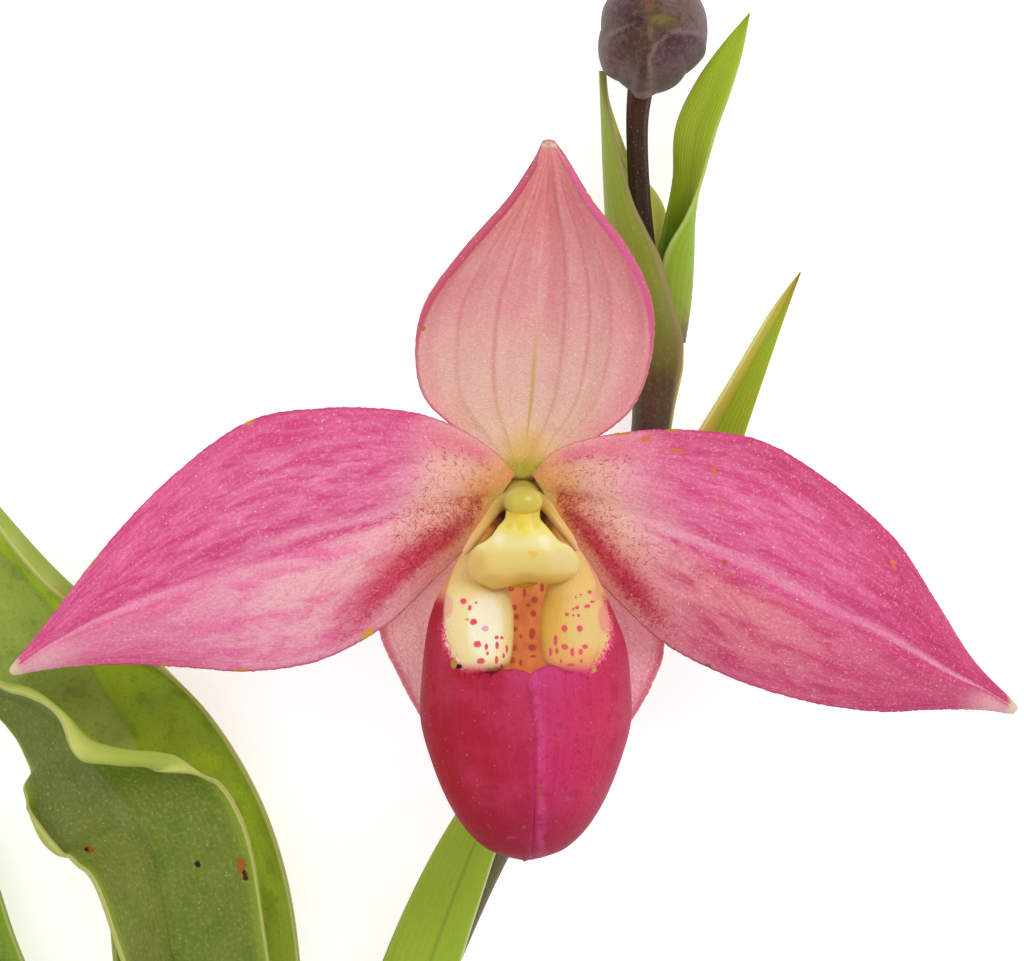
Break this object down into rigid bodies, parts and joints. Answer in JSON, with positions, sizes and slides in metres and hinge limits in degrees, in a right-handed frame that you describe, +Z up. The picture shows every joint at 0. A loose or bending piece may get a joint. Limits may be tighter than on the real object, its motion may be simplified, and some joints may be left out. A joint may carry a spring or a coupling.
{
  "type": "phragmipedium orchid",
  "caption": "Cut flowering growth of a slipper orchid: leaf fan, flower stem with bracts, one open flower with a pouch, and a bud, lying down.",
  "frame": {"origin": "centre of the small flat under the cut base, on the surface that the growth lies on", "axes": "+Z up from that surface; +Y from the cut base towards the flower and the bud; +X to the right, seen from above with the flower facing up"},
  "size_m": [0.1965, 0.1549, 0.0341],
  "materials": {
    "leaf": "waxy green blade, paler below, with a cream margin",
    "bract": "thin fresh green blade with a purple-brown foot",
    "stem": "dark purple-brown, short velvet hair",
    "cut_stem": "pale green short stem, cut clean",
    "sepal": "satin pale pink with darker veins and a magenta rim",
    "petal": "satin magenta pink, fine darker net",
    "pouch": "velvety crimson outside, cream with red dots at the mouth",
    "column": "waxy cream yellow",
    "bud": "dull velvet grey purple"
  },
  "bodies": {
    "root": {"cut_base": "cut_stem", "leaf_front": "leaf", "leaf_back": "leaf", "leaf_outer_left": "leaf", "leaf_inner_right": "leaf", "leaf_outer_right": "leaf", "flower_stem": "stem", "bract_stem": "bract", "bract_flower": "bract", "bract_upper_left": "bract", "bract_upper_right": "bract", "flower_ovary": "stem", "dorsal_sepal": "sepal", "synsepal": "sepal", "petal_left": "petal", "petal_right": "petal", "pouch": "pouch", "column": "column", "bud_ovary": "stem", "bud": "bud"}
  },
  "joints": []
}
